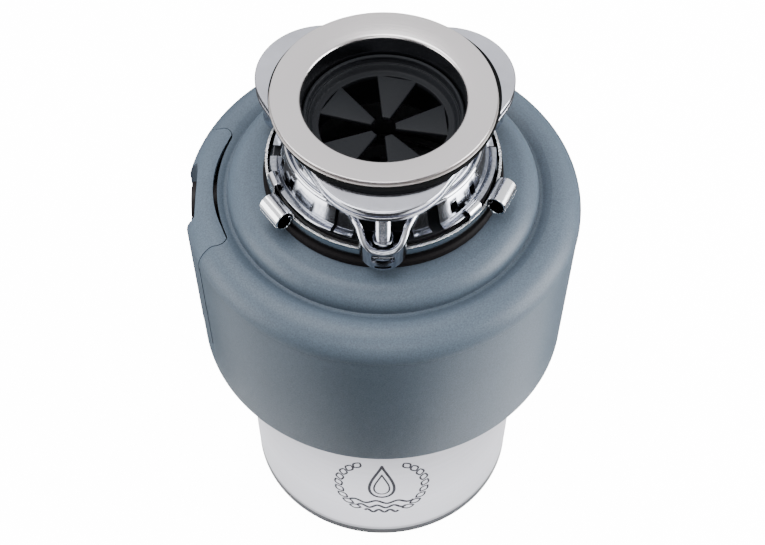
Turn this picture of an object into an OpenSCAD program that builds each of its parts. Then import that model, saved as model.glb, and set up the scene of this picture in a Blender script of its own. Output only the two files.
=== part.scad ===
// Kitchen waste disposer with a three-screw quick-lock sink mount.
// Millimetres, +Z up. The origin is on the motor axis, in the plane the base stands on.

/* [Overall] */
// Height of the sink flange above the base
flange_top = 312; // [310:1:315]
// Largest radius of the plastic shell, at its shoulder
shell_r = 105.8; // [105:0.1:107]
// Wall thickness of the plastic shell
shell_t = 3; // [2.6:0.2:3.2]
// Radius of the shell at its bottom rim
rim_r = 102.5; // [102:0.1:103.5]
// Height of the shell's bottom rim above the base
rim_z = 128.8; // [128:0.1:129]

/* [Sink mount] */
// Radius of the sink flange
flange_r = 57; // [56:0.5:58]
// Inner radius of the sink tube
tube_r = 41.5; // [41.4:0.1:42]
// Wall thickness of the sink tube
tube_t = 1.2; // [1:0.1:1.3]
// Radius of each lobe of the backup flange
lobe_r = 35; // [34:0.5:36]
// Distance of the lobe centres from the axis
lobe_offset = 35.5; // [35:0.5:36]
// Distance of the mounting screws from the axis
screw_pitch_r = 62; // [61.5:0.5:62.5]
// Radius of a mounting screw
screw_r = 3.9; // [3.5:0.1:3.9]
// Outer radius of the lower ring's band
band_r = 61.5; // [61.4:0.1:61.6]
// Outer radius of a rolled lug
lug_roll_r = 5.6; // [5.4:0.1:5.8]
// Width of a rolled lug along the ring
lug_w = 15.5; // [14:0.5:16]
// Direction of the first rolled lug
lug_angle = -24.5; // [-26:0.5:-23]
// Direction of the first hook tab
hook_angle = -40; // [-42:0.5:-39]

/* [Splash guard] */
// Number of flaps and of wedge openings
flap_count = 5; // [4:1:6]
// Angle that each wedge opening takes
flap_gap = 35; // [30:1:38]
// Radius of the hole in the middle
guard_hole_r = 6.4; // [6:0.2:7]

/* [Motor] */
// Outer radius of the motor can
can_r = 77.6; // [77.4:0.1:77.8]
// Wall thickness of the motor can
can_t = 1; // [0.8:0.1:1]
// Outer radius of the stator
stator_r = 68; // [66:0.5:68]
// Inner radius of the stator
stator_bore_r = 35.2; // [35:0.1:36]
// Number of stator slots
slot_count = 18; // [12:1:20]
// Radius of the shaft where the rotor sits
shaft_r = 8; // [8:0.1:8.2]

/* [Chamber] */
// Outer radius of the grinding chamber
chamber_r = 72; // [71.8:0.1:72.2]
// Radius of the turntable
turntable_r = 62; // [61:0.5:62]
// Distance of an impeller pin from the axis
impeller_pitch_r = 42; // [41:0.5:42]
// Height of the discharge outlet above the base
outlet_z = 153.5; // [153.4:0.1:153.6]
// Radius of the discharge outlet
outlet_r = 19; // [18:0.5:19]
// Outer radius of the dishwasher inlet
inlet_r = 11; // [10.5:0.1:11.1]

/* [Hidden] */
$fn = 96;

// The mount repeats three times round the axis, with a lobe towards the front
lobe_angles = [-90, 30, 150];
// Clearance of a shaft or pin that turns in a hole
running = 0.05;
// Clearance between pieces that are pressed or screwed together
snug = 0.02;
// Length added to a cutting shape so that it passes through both faces
past = 1;

// Levels of the sink mount, from the flange down
gasket_top = flange_top - 3.4;
plate_top = flange_top - 6;
plate_low = flange_top - 13.4;
collar_top = flange_top - 13.8;
roll_rim_z = flange_top - 32;
ramp_z = flange_top - 45.4;
saddle_floor = flange_top - 47.5;
band_top = flange_top - 48;
tube_low = flange_top - 47.6;
neck_top = flange_top - 51;
band_low = flange_top - 54.6;
cushion_top = flange_top - 55;
cover_z = flange_top - 59.5;

// Shoulder of the shell: a ring bead inside and a larger round outside
bead_c = [70.5, cover_z - 13];
bead_r = 12;
shoulder_r = 14;
shoulder_c = [shell_r - shoulder_r, flange_top - 84.6];
seam_z = flange_top - 85.3;

// Trim panel on the left side, set between two angles of the shoulder
panel_edge_r = 88.4;
panel_low = 154;
panel_low_r = 103.5;
panel_half = 41;
panel_corner_r = 5;
recess_x = 99;
recess_half = 19;
recess_y = -2;
recess_low = flange_top - 108;
recess_high = flange_top - 68;
inlet_z = flange_top - 86.5;
inlet_tip = 102;

// Levels of the motor and the chamber, from the base up
frame_band = 5;
frame_plate = [8, 11];
stack_z = [45, 105];
bell_floor = [124, 130];
bell_top = 175;
chamber_low = 176;
table_z = [180, 184];
impeller_z = 184.4;
bolt_r = 71.2;
outlet_face = 86;

function arc(c, r, a0, a1, n = 8) =
    [for (i = [0:n]) c + r * [cos(a0 + (a1 - a0) * i / n), sin(a0 + (a1 - a0) * i / n)]];

// A straight ring between two heights
module ring(r_out, r_in, z0, z1) {
    translate([0, 0, z0]) difference() {
        cylinder(h = z1 - z0, r = r_out);
        translate([0, 0, -past]) cylinder(h = z1 - z0 + 2 * past, r = r_in);
    }
}

// A pie slice from angle a0 to a1, wider than the part
module wedge(a0, a1, z0, z1, reach = 160) {
    steps = ceil((a1 - a0) / 40);
    rim = [for (i = [0:steps]) reach * [cos(a0 + (a1 - a0) * i / steps), sin(a0 + (a1 - a0) * i / steps)]];
    translate([0, 0, z0]) linear_extrude(z1 - z0) polygon(concat([[0, 0]], rim));
}

// A block given by its lowest and highest corners
module block(low, high) {
    translate(low) cube(high - low);
}

// A cylinder along -X from x = -near to x = -far, at height z
module side_bar(r, near, far, z, y = 0) {
    translate([-near, y, z]) rotate([0, -90, 0]) cylinder(h = far - near, r = r);
}

// ---------- sink mount ----------

module sink_flange() {
    lip_r = 2;
    lip = [tube_r + lip_r, flange_top - 4.1];
    edge = 0.75;
    profile = concat(
        arc([flange_r - edge, flange_top - edge], edge, -90, 90, 6),
        arc(lip, lip_r, 100, 180, 6),
        [[tube_r, tube_low], [tube_r + tube_t, tube_low], [tube_r + tube_t, lip[1] - 0.6]],
        [[tube_r + 3, flange_top - 3.6]]);
    color([0.80, 0.77, 0.77]) rotate_extrude() polygon(profile);
}

module friction_ring() {
    color([0.62, 0.60, 0.57]) ring(57.5, 52, gasket_top, gasket_top + 1);
}

module sink_gasket() {
    color([0.09, 0.09, 0.09]) ring(58.4, 46, plate_top, gasket_top);
}

// Outline with three round lobes joined by straight sides
module lobed_outline(r) {
    polygon([for (a = lobe_angles) each arc(lobe_offset * [cos(a), sin(a)], r, a - 60, a + 60, 20)]);
}

module backup_flange() {
    plate_t = 1.5;
    wall = 1.6;
    layers = [[0, 3.5, 0], [3.5, 4.9, 1.1], [4.9, plate_top - plate_low, 0.3]];
    color([0.78, 0.79, 0.81]) difference() {
        for (l = layers)
            translate([0, 0, plate_top - l[1]]) linear_extrude(l[1] - l[0]) lobed_outline(lobe_r - l[2]);
        translate([0, 0, plate_low - past]) linear_extrude(plate_top - plate_t - plate_low + past)
            lobed_outline(lobe_r - 1.1 - wall);
        translate([0, 0, plate_low - past]) cylinder(h = 10, r = 43.6);
    }
}

// Space above the slanted top edge of a screw saddle, sinking by drop
module above_saddle_edge(drop = 0) {
    slope = 36.5;
    translate([57, 0, flange_top - 31 - drop]) rotate([0, slope, 0]) block([-60, -30, 0], [60, 30, 60]);
}

// One U-shaped saddle that holds a mounting screw, pointing along +X
module screw_saddle() {
    cup_x = 59;
    cup_r = 11.5;
    wall = 1.8;
    bottom = flange_top - 50.8;
    difference() {
        union() {
            difference() {
                translate([cup_x, 0, bottom]) cylinder(h = 24, r = cup_r);
                translate([cup_x, 0, saddle_floor + 1.5]) cylinder(h = 30, r = cup_r - wall);
                translate([cup_x, 0, bottom - past]) cylinder(h = saddle_floor - bottom + past, r = cup_r - wall);
                above_saddle_edge();
            }
            intersection() {
                difference() {
                    translate([cup_x, 0, bottom]) cylinder(h = 24, r = cup_r + 0.9);
                    translate([cup_x, 0, bottom - past]) cylinder(h = 30, r = cup_r - 2.4);
                }
                difference() {
                    above_saddle_edge(3);
                    above_saddle_edge(0);
                }
            }
            translate([screw_pitch_r, 0, saddle_floor]) cylinder(h = 9.5, r = 5.3);
        }
        ring(62.2, 0.1, bottom - past, saddle_floor);
        cylinder(h = 400, r = 49.6);
        block([40, -8.4, bottom - past], [52.4, 8.4, flange_top - 20]);
        translate([screw_pitch_r, 0, bottom - past]) cylinder(h = 30, r = screw_r + running);
        block([66, -5.5, flange_top - 46.2], [75, 5.5, flange_top - 44]);
        block([66, -3.7, flange_top - 49.6], [75, 3.7, flange_top - 48.6]);
    }
}

// One ramp with its skirt, from its low end to its high end
module ramp() {
    span = [-58, 3];
    middle = (span[0] + span[1]) / 2;
    tilt = 2;
    intersection() {
        rotate_extrude() polygon([[49.7, roll_rim_z - 0.6], [51.3, roll_rim_z - 0.6],
            [54.2, ramp_z + 0.5], [54.2, ramp_z - 1], [52.9, ramp_z - 1], [52.9, ramp_z + 0.5]]);
        wedge(span[0], span[1], ramp_z - 5, roll_rim_z + 5);
    }
    rotate([0, 0, middle]) translate([0, 0, ramp_z]) rotate([tilt, 0, 0]) intersection() {
        ring(58.5, 53, -0.65, 0.65);
        wedge(span[0] - middle, span[1] - middle, -3, 3);
    }
}

module upper_mounting_ring() {
    rim = [49.9, roll_rim_z];
    rim_wire = 2;
    profile = concat(
        [[43.3, collar_top - 1.6], [43.3, collar_top], [46.2, collar_top], [47, flange_top - 20]],
        arc(rim, rim_wire, 110, -140, 12),
        [[47.3, flange_top - 31], [45.6, flange_top - 20], [45, collar_top - 1.6]]);
    color([0.80, 0.81, 0.83]) difference() {
        union() {
            rotate_extrude() polygon(profile);
            for (a = lobe_angles) {
                rotate([0, 0, a]) screw_saddle();
                rotate([0, 0, a + 90]) ramp();
            }
        }
        for (a = lobe_angles) {
            // Windows in the collar and locking notches in the ramp skirt
            for (window = [38, 62, 84])
                rotate([0, 0, a + window]) translate([40, 0, flange_top - 24]) rotate([0, 90, 0])
                    cylinder(h = 9, r = 2.6);
            for (notch = [42.5, 58.5])
                rotate([0, 0, a + notch]) block([51.2, -2, ramp_z + 1.2], [56, 2, ramp_z + 6]);
        }
    }
}

module mounting_screws() {
    head_r = 5.6;
    color([0.76, 0.77, 0.79]) for (a = lobe_angles)
        rotate([0, 0, a]) translate([screw_pitch_r, 0, 0]) difference() {
            union() {
                translate([0, 0, saddle_floor - 2]) cylinder(h = plate_top - 3.6 - saddle_floor, r = screw_r);
                translate([0, 0, plate_top - 5.6]) cylinder(h = 4, r1 = screw_r, r2 = 1.5);
                translate([2.6, 0, saddle_floor - 2.4]) intersection() {
                    translate([-2.6, 0, 0]) cylinder(h = 2.4, r = head_r);
                    block([0, -head_r, 0], [head_r, head_r, 2.4]);
                }
            }
            block([-7, -7, saddle_floor - 4], [0.4, 7, saddle_floor - snug]);
        }
}

module tube_snap_ring() {
    wire = 0.9;
    color([0.55, 0.56, 0.58]) difference() {
        rotate_extrude() translate([tube_r + tube_t + wire + 0.1, collar_top - 1.8 - wire]) circle(wire);
        wedge(85, 95, collar_top - 5, collar_top);
    }
}

// One rolled lug: a strip that rises off the band, curls outwards and down and stays open below
module lug() {
    roll_c = [band_r + 4.4, band_top + 1.4];
    sheet = 1;
    leg_x = roll_c[0] - lug_roll_r;
    rotate([90, 0, 0]) translate([0, 0, -lug_w / 2]) linear_extrude(lug_w) {
        difference() {
            translate(roll_c) circle(lug_roll_r);
            translate(roll_c) circle(lug_roll_r - sheet);
            translate(roll_c) polygon([[0, 0], [-9, 0], [-9, -9], [-1.2, -9]]);
        }
        translate([leg_x, band_top - 1.5]) square([sheet, roll_c[1] - band_top + 1.6]);
    }
}

// One small tab that hooks over a ramp
module hook_tab() {
    hook_c = [58.6, band_top + 3.9];
    outer = 2.9;
    inner = 1.7;
    width = 9;
    rotate([90, 0, 0]) translate([0, 0, -width / 2]) linear_extrude(width) {
        difference() {
            translate(hook_c) circle(outer);
            translate(hook_c) circle(inner);
            translate(hook_c) polygon([[-6, -0.5], [inner, -0.5], [outer + 1, -0.5], [outer + 1, -6], [-6, -6]]);
        }
        translate([hook_c[0] + inner, band_top - 1.5]) square([outer - inner, hook_c[1] - band_top + 1.6]);
    }
}

module lower_mounting_ring() {
    color([0.70, 0.72, 0.74]) {
        ring(band_r, band_r - 1.5, band_low, band_top);
        ring(band_r - 0.7, 51 + running, band_low, band_low + 1.5);
        for (i = [0:2]) {
            rotate([0, 0, lug_angle + 120 * i]) lug();
            rotate([0, 0, hook_angle + 120 * i]) hook_tab();
        }
    }
}

module cushion_gasket() {
    color([0.13, 0.12, 0.12]) difference() {
        ring(64, 51.6, cover_z + snug, cushion_top);
        rotate_extrude() polygon([[63, cushion_top + 0.1], [64.5, cushion_top + 0.1], [64.5, cushion_top - 1.4]]);
    }
}

module splash_guard() {
    skirt_r = tube_r - 0.35;
    skirt_t = 1.3;
    top = flange_top - 15;
    disc_z = flange_top - 22.5;
    disc_t = 2.2;
    dish = 2;
    open_r = 33;
    color([0.10, 0.10, 0.11]) difference() {
        rotate_extrude() polygon(concat(
            [[skirt_r, neck_top + 3], [57, neck_top + 3], [57, neck_top + 0.1], [skirt_r - skirt_t, neck_top + 0.1]],
            [[skirt_r - skirt_t, disc_z - disc_t - 1], [open_r, disc_z - disc_t - 0.3]],
            [[guard_hole_r, disc_z - disc_t - dish], [guard_hole_r, disc_z - dish], [open_r, disc_z]],
            [[37, disc_z + 0.3]],
            arc([37.9, disc_z + 3], 1.2, 180, 60, 6),
            arc([skirt_r - 1.1, top], 1.1, 200, 0, 8)));
        for (i = [0:flap_count - 1])
            rotate([0, 0, 41.5 + 360 / flap_count * i]) intersection() {
                wedge(-flap_gap / 2, flap_gap / 2, disc_z - 8, disc_z + 3, open_r * 1.04);
                translate([0, 0, disc_z - 8]) cylinder(h = 12, r = open_r);
            }
    }
}

// ---------- grinding chamber ----------

module grind_chamber() {
    wall = 2.3;
    seat_r = 66.2;
    dome_c = [chamber_r - 12, flange_top - 80];
    color([0.62, 0.64, 0.66]) difference() {
        rotate_extrude() polygon(concat(
            [[seat_r, chamber_low], [81, chamber_low], [81, chamber_low + 4], [chamber_r, chamber_low + 4]],
            arc(dome_c, 12, 0, 90, 8),
            [[51, dome_c[1] + 12.8], [51, neck_top - 1.7], [58, neck_top - 1.7], [58, neck_top], [47, neck_top]],
            [[47, dome_c[1] + 10.6]],
            arc(dome_c, 12 - wall, 90, 0, 8),
            [[chamber_r - wall, chamber_low + 25.5], [seat_r, chamber_low + 24.5]]));
        side_bar(inlet_r + snug, 60, 90, inlet_z);
        for (i = [0:5])
            rotate([0, 0, 30 + 60 * i]) translate([76.5, 0, chamber_low - past]) cylinder(h = 8, r = 2.2);
    }
}

module chamber_gasket() {
    color([0.12, 0.12, 0.12]) difference() {
        ring(80.6, 70.4, bell_top + snug, chamber_low - snug);
        for (i = [0:5])
            rotate([0, 0, 30 + 60 * i]) translate([76.5, 0, bell_top - past]) cylinder(h = 4, r = 2.3);
    }
}

module chamber_screws() {
    color([0.72, 0.73, 0.75]) for (i = [0:5])
        rotate([0, 0, 30 + 60 * i]) translate([76.5, 0, 0]) {
            translate([0, 0, bell_top - 5]) cylinder(h = chamber_low + 4.5 - bell_top + 5, r = 2.1);
            translate([0, 0, chamber_low + 4 + snug]) cylinder(h = 3.2, r = 3.8, $fn = 6);
        }
}

module shredder_ring() {
    tooth_count = 20;
    color([0.60, 0.61, 0.62]) difference() {
        ring(66.15, turntable_r + 0.6, chamber_low + 2, chamber_low + 24);
        for (i = [0:tooth_count - 1])
            rotate([0, 0, 360 / tooth_count * i + 4])
                block([60, -2.6, chamber_low], [64.8, 2.6, chamber_low + 14]);
    }
}

module turntable() {
    color([0.66, 0.67, 0.68]) difference() {
        union() {
            translate([0, 0, table_z[0]]) cylinder(h = table_z[1] - table_z[0], r = turntable_r);
            ring(turntable_r, turntable_r - 4, table_z[0] - 3, table_z[0] + 1);
            translate([0, 0, 166]) cylinder(h = table_z[1] - 166, r = 12);
        }
        translate([0, 0, 160]) cylinder(h = 30, r = 7 + snug);
        for (a = [0, 180])
            rotate([0, 0, a]) translate([impeller_pitch_r, 0, 170]) cylinder(h = 20, r = 4 + snug);
        for (a = [45:90:315]) rotate([0, 0, a]) translate([50, 0, 170]) cylinder(h = 20, r = 3.2);
    }
}

// One swivel impeller: a flat arm on its pin with a block at its free end
module impeller() {
    arm = 12.5;
    color([0.74, 0.75, 0.76]) translate([impeller_pitch_r, 0, impeller_z]) rotate([0, 0, 115]) {
        difference() {
            linear_extrude(3.4) {
                circle(7.5);
                translate([arm, 0]) circle(6);
                polygon([[0, 7.5], [0, -7.5], [arm, -6], [arm, 6]]);
            }
            translate([0, 0, -past]) cylinder(h = 8, r = 4 + running);
        }
        translate([0, 0, 3]) intersection() {
            translate([arm, 0, 0]) cylinder(h = 9, r = 6);
            block([arm - 2, -6, 0], [arm + 6, 6, 9]);
        }
    }
}

module impeller_1() {
    impeller();
}

module impeller_2() {
    rotate([0, 0, 180]) impeller();
}

module impeller_pins() {
    color([0.55, 0.56, 0.58]) for (a = [0, 180]) rotate([0, 0, a]) translate([impeller_pitch_r, 0, 0]) {
        translate([0, 0, table_z[0] - 1]) cylinder(h = impeller_z + 4.2 - table_z[0] + 1, r = 4);
        translate([0, 0, impeller_z + 3.9]) cylinder(h = 2, r = 6.2);
    }
}

module shaft_nut() {
    color([0.68, 0.69, 0.70]) difference() {
        translate([0, 0, table_z[1] + snug]) cylinder(h = 7, r = 8.7, $fn = 6);
        translate([0, 0, table_z[1] - past]) cylinder(h = 10, r = 5 + snug);
    }
}

// ---------- motor ----------

module motor_shaft() {
    socket_r = 3.67;
    color([0.60, 0.62, 0.64]) difference() {
        union() {
            translate([0, 0, 14]) cylinder(h = 19, r = 6.3);
            translate([0, 0, 32.4]) cylinder(h = 85, r = shaft_r);
            translate([0, 0, 117]) cylinder(h = 44, r = 7.9);
            translate([0, 0, 160]) cylinder(h = 24, r = 7);
            translate([0, 0, 183]) cylinder(h = 11, r = 5);
        }
        translate([0, 0, 13]) cylinder(h = 11, r = socket_r, $fn = 6);
    }
}

module rotor_core() {
    color([0.40, 0.41, 0.43]) ring(stator_bore_r - 0.6, shaft_r + snug, stack_z[0], stack_z[1]);
}

module rotor_cage() {
    color([0.75, 0.76, 0.77]) for (z = [stack_z[0] - 6 - snug, stack_z[1] + snug]) {
        ring(33, 21, z, z + 6);
    }
}

module upper_end_bell() {
    color([0.58, 0.60, 0.62]) difference() {
        union() {
            difference() {
                translate([0, 0, bell_floor[0]]) cylinder(h = bell_top - bell_floor[0], r = 76.5);
                translate([0, 0, bell_floor[1]]) cylinder(h = 60, r = 70);
            }
            ring(77.5, 75, bell_floor[0] + 2.2, bell_floor[0] + 4.5);
            ring(81, 75, bell_top - 6, bell_top);
            translate([0, 0, 118]) cylinder(h = 40, r = 20);
            difference() {
                side_bar(outlet_r + 2.5, 66, outlet_face, outlet_z);
                cylinder(h = 300, r = 70);
            }
            discharge_plate(outlet_face - 4, outlet_face);
        }
        side_bar(outlet_r, 60, 100, outlet_z);
        translate([0, 0, 110]) cylinder(h = 70, r = 9);
        translate([0, 0, 117]) cylinder(h = 26.5, r = 12);
        translate([0, 0, 148]) cylinder(h = 20, r = 13.05);
        for (i = [0:3])
            rotate([0, 0, 45 + 90 * i]) translate([bolt_r, 0, bell_floor[0] - past]) cylinder(h = 6, r = 2.4 + snug);
        for (i = [0:5])
            rotate([0, 0, 30 + 60 * i]) translate([78, 0, bell_top - 5.5]) translate([-1.5, 0, 0])
                cylinder(h = 8, r = 2.1 + snug);
        for (y = [-27.5, 27.5]) side_bar(2.5, 70, 100, outlet_z, y);
    }
}

// Plate with two screw ears round the discharge outlet, from x = -near to x = -far
module discharge_plate(near, far) {
    intersection() {
        union() {
            side_bar(23.5, near, far, outlet_z);
            block([-far, -27.5, outlet_z - 6], [-near, 27.5, outlet_z + 6]);
            for (y = [-27.5, 27.5]) side_bar(6, near, far, outlet_z, y);
        }
        block([-110, -60, rim_z + 3.5], [0, 60, chamber_low - 1.4]);
    }
}

module discharge_gasket() {
    color([0.11, 0.11, 0.11]) difference() {
        intersection() {
            side_bar(23.5, outlet_face + snug, outlet_face + 3, outlet_z);
            block([-110, -60, rim_z + 3.5], [0, 60, chamber_low - 1.4]);
        }
        side_bar(outlet_r + 0.4, 80, 100, outlet_z);
    }
}

module discharge_flange() {
    color([0.62, 0.64, 0.66]) difference() {
        discharge_plate(outlet_face + 3 + snug, outlet_face + 5.6);
        side_bar(outlet_r + 0.8, 80, 100, outlet_z);
        for (y = [-27.5, 27.5]) side_bar(2.6, 80, 100, outlet_z, y);
    }
}

module discharge_screws() {
    color([0.72, 0.73, 0.75]) for (y = [-27.5, 27.5]) {
        side_bar(2.4, outlet_face - 5, outlet_face + 6, outlet_z, y);
        side_bar(4, outlet_face + 5.6 + snug, outlet_face + 8, outlet_z, y);
    }
}

module shaft_seal() {
    color([0.10, 0.10, 0.10]) ring(13, 7.9 + running, 148 + snug, 157);
}

module upper_bearing() {
    color([0.72, 0.55, 0.32]) ring(12 - snug, 7.9 + running, 119, 143);
}

module lower_bearing() {
    color([0.72, 0.55, 0.32]) ring(11, 6.3 + running, 14.2, 30.3);
}

module thrust_washer() {
    color([0.55, 0.56, 0.57]) ring(13, 7, 30.6, 32);
}

module stator_core() {
    color([0.36, 0.37, 0.39]) difference() {
        ring(stator_r, stator_bore_r, stack_z[0], stack_z[1]);
        for (i = [0:slot_count - 1])
            rotate([0, 0, 360 / slot_count * i]) {
                block([37, -2.6, stack_z[0] - past], [55, 2.6, stack_z[1] + past]);
                block([34, -1, stack_z[0] - past], [38, 1, stack_z[1] + past]);
            }
    }
}

module stator_windings() {
    color([0.72, 0.38, 0.20]) {
        for (z = [[33, stack_z[0] - 0.5], [stack_z[1] + 0.5, 118]]) ring(57, 38, z[0], z[1]);
        for (i = [0:slot_count - 1])
            rotate([0, 0, 360 / slot_count * i])
                block([38.4, -2.3, stack_z[0] - 2], [54.6, 2.3, stack_z[1] + 2]);
    }
}

module motor_can() {
    color([0.80, 0.80, 0.82]) ring(can_r, can_r - can_t, frame_band + snug, bell_floor[0] + 2.1);
}

module lower_end_frame() {
    conduit_y = -46;
    color([0.48, 0.49, 0.51]) difference() {
        union() {
            ring(can_r, 62, 0, frame_band);
            ring(can_r - can_t - snug, 62, frame_band - 1, frame_plate[1]);
            translate([0, 0, frame_plate[0]]) cylinder(h = frame_plate[1] - frame_plate[0], r = 64);
            translate([0, 0, frame_plate[0]]) cylinder(h = 30.3 - frame_plate[0], r = 16);
            translate([0, conduit_y, 4]) cylinder(h = frame_plate[1] - 4, r = 14.5);
        }
        translate([0, conduit_y, -past]) cylinder(h = 20, r = 11.1);
        translate([0, 0, -past]) cylinder(h = 20, r = 6.5);
        translate([0, 0, 14]) cylinder(h = 20, r = 11 + snug);
        translate([45, 0, -past]) cylinder(h = 20, r = 4.05);
        block([-18, 35, 0], [18, 51, 20]);
        for (x = [-22.5, 22.5]) translate([x, 43, 0]) cylinder(h = 20, r = 1.6);
        for (i = [0:3])
            rotate([0, 0, 45 + 90 * i]) translate([bolt_r, 0, -past]) {
                cylinder(h = 20, r = 2.5);
                cylinder(h = 4.6, r = 5);
            }
    }
}

module through_bolts() {
    color([0.66, 0.67, 0.69]) for (i = [0:3])
        rotate([0, 0, 45 + 90 * i]) translate([bolt_r, 0, 0]) {
            translate([0, 0, 3.4]) cylinder(h = bell_floor[0] + 4.5 - 3.4, r = 2.4);
            translate([0, 0, 0.8]) cylinder(h = 2.7, r = 4.4, $fn = 6);
        }
}

module start_relay() {
    color([0.16, 0.16, 0.17]) {
        block([-50, -12, frame_plate[1] + 0.1], [-26, 12, 28]);
        block([-52, -14, frame_plate[1] + 0.1], [-24, 14, 13]);
    }
}

module overload_protector() {
    color([0.20, 0.10, 0.09]) difference() {
        block([34, -13, frame_plate[1] + 0.1], [56, 13, 30]);
        block([38.5, -14, frame_plate[1] - 1], [51.5, 14, 19]);
    }
}

module reset_button() {
    color([0.75, 0.08, 0.06]) translate([45, 0, 0]) {
        translate([0, 0, 4]) cylinder(h = 11.5, r = 4);
        translate([0, 0, 14.3]) cylinder(h = 1.4, r = 5.6);
    }
}

module terminal_cover() {
    color([0.50, 0.51, 0.53]) difference() {
        block([-27, 32, 6], [27, 54, frame_plate[0] - snug]);
        for (x = [-22.5, 22.5]) translate([x, 43, 0]) cylinder(h = 20, r = 1.8);
    }
}

module terminal_screws() {
    color([0.70, 0.71, 0.73]) for (x = [-22.5, 22.5]) translate([x, 43, 0]) {
        translate([0, 0, 5]) cylinder(h = 8, r = 1.5);
        translate([0, 0, 4]) cylinder(h = 2 - snug, r = 3.2);
    }
}

// ---------- shell ----------

// Plan of the opening for the trim panel; grow widens it all round
module panel_plan(grow) {
    corner = [-sqrt(pow(panel_edge_r + panel_corner_r, 2) - pow(panel_half - panel_corner_r, 2)),
        panel_half - panel_corner_r];
    lean = atan2(corner[1], -corner[0]);
    // The sides curve outwards again after each corner and run on along a radius
    flare = 25;
    bend_r = 6;
    bend_c = [corner[0] - 1, panel_half + bend_r];
    bend = arc(bend_c, bend_r - grow, 270, 270 - flare, 4);
    far_x = -130;
    half = concat(
        arc([0, 0], panel_edge_r - grow, 180, 180 - lean, 10),
        arc(corner, panel_corner_r + grow, -lean, 90, 8),
        bend,
        [[far_x, bend[4][1] + (bend[4][0] - far_x) * tan(flare)]]);
    polygon(concat(half, [for (i = [len(half) - 1:-1:1]) [half[i][0], -half[i][1]]]));
}

// Everything that the panel's opening takes out of the shell
module panel_space(grow) {
    translate([0, 0, panel_low - grow]) linear_extrude(200) panel_plan(grow);
}

module top_cover() {
    inner_bead = bead_r - shell_t;
    inner_shoulder = shoulder_r - shell_t;
    color([0.41, 0.46, 0.51]) difference() {
        rotate_extrude() polygon(concat(
            [[52.5, cover_z], [64, cover_z]],
            arc(bead_c, bead_r, 90, -4, 10),
            [[84.6, bead_c[1] - 0.9]],
            arc(shoulder_c, shoulder_r, 102, 0, 12),
            [[shell_r, seam_z], [shell_r - shell_t - 0.3, seam_z], [shell_r - shell_t - 0.9, seam_z - 7]],
            [[shell_r - shell_t - 2.3, seam_z - 7], [shell_r - shell_t - 1.7, shoulder_c[1]]],
            arc(shoulder_c, inner_shoulder - 1.4, 0, 102, 10),
            [[83, bead_c[1] - 4.2], [80.2, bead_c[1] - 3.4]],
            arc(bead_c, inner_bead, 0, 90, 8),
            [[64, cover_z - shell_t], [52.5, cover_z - shell_t]]));
        panel_space(0.3);
        side_bar(inlet_r + 0.4, 60, 92, inlet_z);
    }
}

module side_shell() {
    edge = 2;
    top = seam_z - 0.3;
    color([0.41, 0.46, 0.51]) difference() {
        rotate_extrude() polygon(concat(
            [[shell_r - 0.3, top]],
            arc([rim_r - edge, rim_z + edge], edge, 0, -90, 5),
            [[can_r + 0.8, rim_z], [can_r + 0.8, rim_z + shell_t], [rim_r - shell_t, rim_z + shell_t]],
            [[shell_r - 0.3 - shell_t, top]]));
        panel_space(0.3);
        side_bar(outlet_r + 1.4, 90, 120, outlet_z);
    }
}

// Radius of the panel's outer face, which narrows downwards with the shell
function panel_face(z) = panel_low_r
    + (shell_r - panel_low_r) * (z - panel_low) / (shoulder_c[1] - panel_low);

module trim_panel() {
    bottom_edge = 2;
    crescent_r = 71.8;
    crescent_x = panel_edge_r + 1.7 - crescent_r;
    color([0.42, 0.47, 0.52]) difference() {
        intersection() {
            union() {
                rotate_extrude() polygon(concat(
                    arc(shoulder_c, shoulder_r, 102, 0, 12),
                    arc([panel_low_r - bottom_edge, panel_low + bottom_edge], bottom_edge, 0, -90, 4),
                    [[panel_low_r - shell_t, panel_low]],
                    arc(shoulder_c, shoulder_r - shell_t, 0, 102, 10)));
                intersection() {
                    rotate_extrude() polygon(concat(
                        [[60, recess_low - 2]],
                        [[panel_face(recess_low - 2), recess_low - 2]],
                        arc(shoulder_c, shoulder_r, 0, 102, 12),
                        [[60, shoulder_c[1]]]));
                    block([-shell_r, recess_y - recess_half - 2, recess_low - 2],
                        [-recess_x + 2.4, recess_y + recess_half + 2, recess_high]);
                }
            }
            panel_space(0);
        }
        block([-120, recess_y - recess_half, recess_low], [-recess_x, recess_y + recess_half, 260]);
        side_bar(inlet_r + 0.6, 90, 120, inlet_z);
        side_bar(outlet_r + 2.4, 90, 120, outlet_z);
        // The long edge stays clear of the cover in a crescent
        translate([-crescent_x, 0, panel_low]) cylinder(h = 200, r = crescent_r);
    }
}

module sound_insulation() {
    color([0.30, 0.30, 0.31]) difference() {
        ring(98.3, 82, rim_z + 4, flange_top - 92);
        block([-110, -36, rim_z], [-70, 36, chamber_low + 3]);
        side_bar(15, 70, 110, inlet_z);
        block([-110, recess_y - recess_half - 3, recess_low - 3], [-recess_x + 4, recess_y + recess_half + 3, 240]);
    }
}

module dishwasher_inlet() {
    color([0.07, 0.07, 0.07]) difference() {
        union() {
            side_bar(inlet_r, 69, inlet_tip, inlet_z);
            side_bar(inlet_r + 3, 73.5, 76.5, inlet_z);
        }
        side_bar(inlet_r - 3, 60, 120, inlet_z);
    }
}

module inlet_knockout() {
    color([0.10, 0.10, 0.10]) side_bar(inlet_r - 3 - snug, 77, 79, inlet_z);
}

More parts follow.
